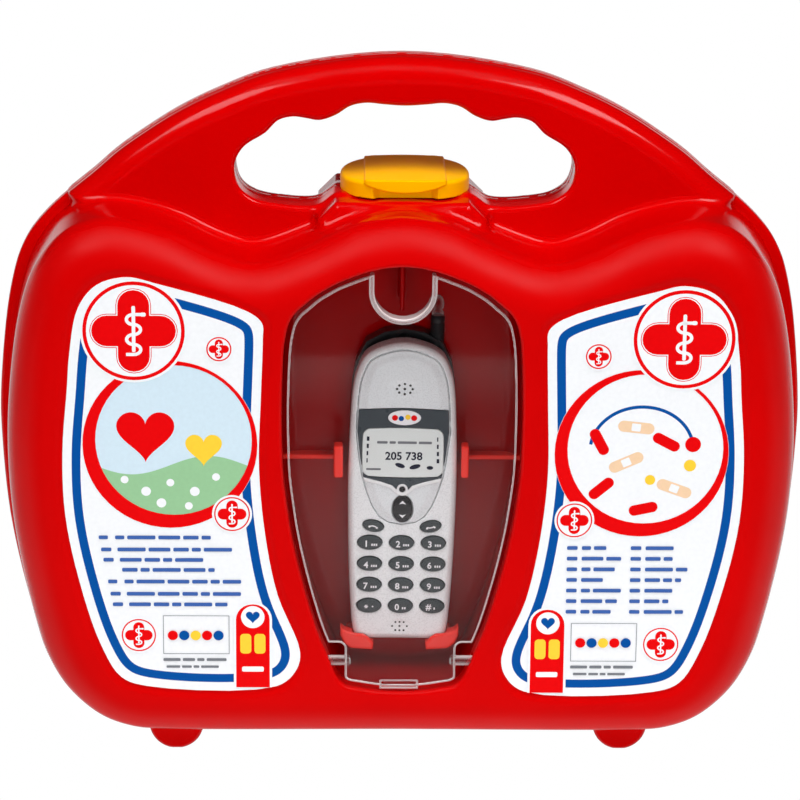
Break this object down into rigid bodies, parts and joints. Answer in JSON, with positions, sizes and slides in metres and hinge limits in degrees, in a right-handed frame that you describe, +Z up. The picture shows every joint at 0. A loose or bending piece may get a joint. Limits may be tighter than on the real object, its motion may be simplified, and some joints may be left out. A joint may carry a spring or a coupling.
{
  "type": "toy doctor case",
  "caption": "Hinged red carrying case with a grip hole, a yellow latch, printed labels and a clear bottom-hung door over a tray that holds a toy phone with sprung keys.",
  "frame": {"origin": "centre of the case on the surface that it stands on, where the joint between the two halves meets it", "axes": "+X to the viewer's right, +Y from the front with the door to the back, +Z up; the halves meet on the plane Y = 0"},
  "size_m": [0.2708, 0.092, 0.2379],
  "materials": {
    "red_plastic": "gloss",
    "red_tray_plastic": "gloss",
    "label_print": "satin",
    "steel": "satin",
    "yellow_plastic": "gloss",
    "clear_plastic": "gloss",
    "silver_plastic": "satin",
    "black_plastic": "gloss",
    "grey_plastic": "gloss",
    "key_plastic": "satin",
    "screen_film": "gloss",
    "grey_rubber": "matte",
    "green_board": "satin"
  },
  "bodies": {
    "rear_half": {"rear_shell": "red_plastic", "hinge_pin_left": "steel", "hinge_pin_right": "steel", "latch_pin": "steel"},
    "front_half": {"front_shell": "red_plastic", "phone_tray": "red_tray_plastic", "label_left": "label_print", "label_right": "label_print"},
    "latch": {"latch": "yellow_plastic"},
    "window_door": {"window_door": "clear_plastic"},
    "phone": {"phone_front_housing": "silver_plastic", "phone_rear_housing": "black_plastic", "phone_faceplate": "silver_plastic", "phone_bezel": "grey_plastic", "phone_screen": "screen_film", "phone_gem": "black_plastic", "phone_keypad_mat": "grey_rubber", "phone_circuit_board": "green_board", "phone_speaker": "black_plastic", "phone_cell_1": "steel", "phone_cell_2": "steel", "phone_cell_3": "steel", "phone_battery_cover": "black_plastic", "phone_screw_lower": "steel", "phone_screw_upper": "steel", "phone_antenna": "black_plastic", "phone_antenna_tip": "clear_plastic"},
    "key_1": {"key_1": "key_plastic"},
    "key_2": {"key_2": "key_plastic"},
    "key_3": {"key_3": "key_plastic"},
    "key_4": {"key_4": "key_plastic"},
    "key_5": {"key_5": "key_plastic"},
    "key_6": {"key_6": "key_plastic"},
    "key_7": {"key_7": "key_plastic"},
    "key_8": {"key_8": "key_plastic"},
    "key_9": {"key_9": "key_plastic"},
    "key_star": {"key_star": "key_plastic"},
    "key_0": {"key_0": "key_plastic"},
    "key_hash": {"key_hash": "key_plastic"},
    "key_call": {"key_call": "key_plastic"},
    "key_end": {"key_end": "key_plastic"},
    "key_nav": {"key_nav": "black_plastic"}
  },
  "joints": [
    {"name": "case_hinge", "type": "hinge", "parent": "rear_half", "child": "front_half", "pos_m": [0, 0, 0.0045], "axis": [1, 0, 0], "range_deg": [0, 170]},
    {"name": "latch_hinge", "type": "hinge", "parent": "rear_half", "child": "latch", "pos_m": [0, 0.0175, 0.195], "axis": [-1, 0, 0], "range_deg": [0, 30]},
    {"name": "door_hinge", "type": "hinge", "parent": "front_half", "child": "window_door", "pos_m": [0, -0.0431, 0.0405], "axis": [1, 0, 0], "range_deg": [0, 100]},
    {"name": "phone_tilt", "type": "hinge", "parent": "front_half", "child": "phone", "pos_m": [0, -0.025, 0.041], "axis": [1, 0, 0], "range_deg": [0, 7]},
    {"name": "key_1_press", "type": "slide", "parent": "phone", "child": "key_1", "axis": [0, 1, 0], "range_m": [0, 0.0007], "stiffness_N_per_m": 300},
    {"name": "key_2_press", "type": "slide", "parent": "phone", "child": "key_2", "axis": [0, 1, 0], "range_m": [0, 0.0007], "stiffness_N_per_m": 300},
    {"name": "key_3_press", "type": "slide", "parent": "phone", "child": "key_3", "axis": [0, 1, 0], "range_m": [0, 0.0007], "stiffness_N_per_m": 300},
    {"name": "key_4_press", "type": "slide", "parent": "phone", "child": "key_4", "axis": [0, 1, 0], "range_m": [0, 0.0007], "stiffness_N_per_m": 300},
    {"name": "key_5_press", "type": "slide", "parent": "phone", "child": "key_5", "axis": [0, 1, 0], "range_m": [0, 0.0007], "stiffness_N_per_m": 300},
    {"name": "key_6_press", "type": "slide", "parent": "phone", "child": "key_6", "axis": [0, 1, 0], "range_m": [0, 0.0007], "stiffness_N_per_m": 300},
    {"name": "key_7_press", "type": "slide", "parent": "phone", "child": "key_7", "axis": [0, 1, 0], "range_m": [0, 0.0007], "stiffness_N_per_m": 300},
    {"name": "key_8_press", "type": "slide", "parent": "phone", "child": "key_8", "axis": [0, 1, 0], "range_m": [0, 0.0007], "stiffness_N_per_m": 300},
    {"name": "key_9_press", "type": "slide", "parent": "phone", "child": "key_9", "axis": [0, 1, 0], "range_m": [0, 0.0007], "stiffness_N_per_m": 300},
    {"name": "key_star_press", "type": "slide", "parent": "phone", "child": "key_star", "axis": [0, 1, 0], "range_m": [0, 0.0007], "stiffness_N_per_m": 300},
    {"name": "key_0_press", "type": "slide", "parent": "phone", "child": "key_0", "axis": [0, 1, 0], "range_m": [0, 0.0007], "stiffness_N_per_m": 300},
    {"name": "key_hash_press", "type": "slide", "parent": "phone", "child": "key_hash", "axis": [0, 1, 0], "range_m": [0, 0.0007], "stiffness_N_per_m": 300},
    {"name": "key_call_press", "type": "slide", "parent": "phone", "child": "key_call", "axis": [0, 1, 0], "range_m": [0, 0.0007], "stiffness_N_per_m": 300},
    {"name": "key_end_press", "type": "slide", "parent": "phone", "child": "key_end", "axis": [0, 1, 0], "range_m": [0, 0.0007], "stiffness_N_per_m": 300},
    {"name": "key_nav_press", "type": "slide", "parent": "phone", "child": "key_nav", "axis": [0, 1, 0], "range_m": [0, 0.0007], "stiffness_N_per_m": 300}
  ]
}
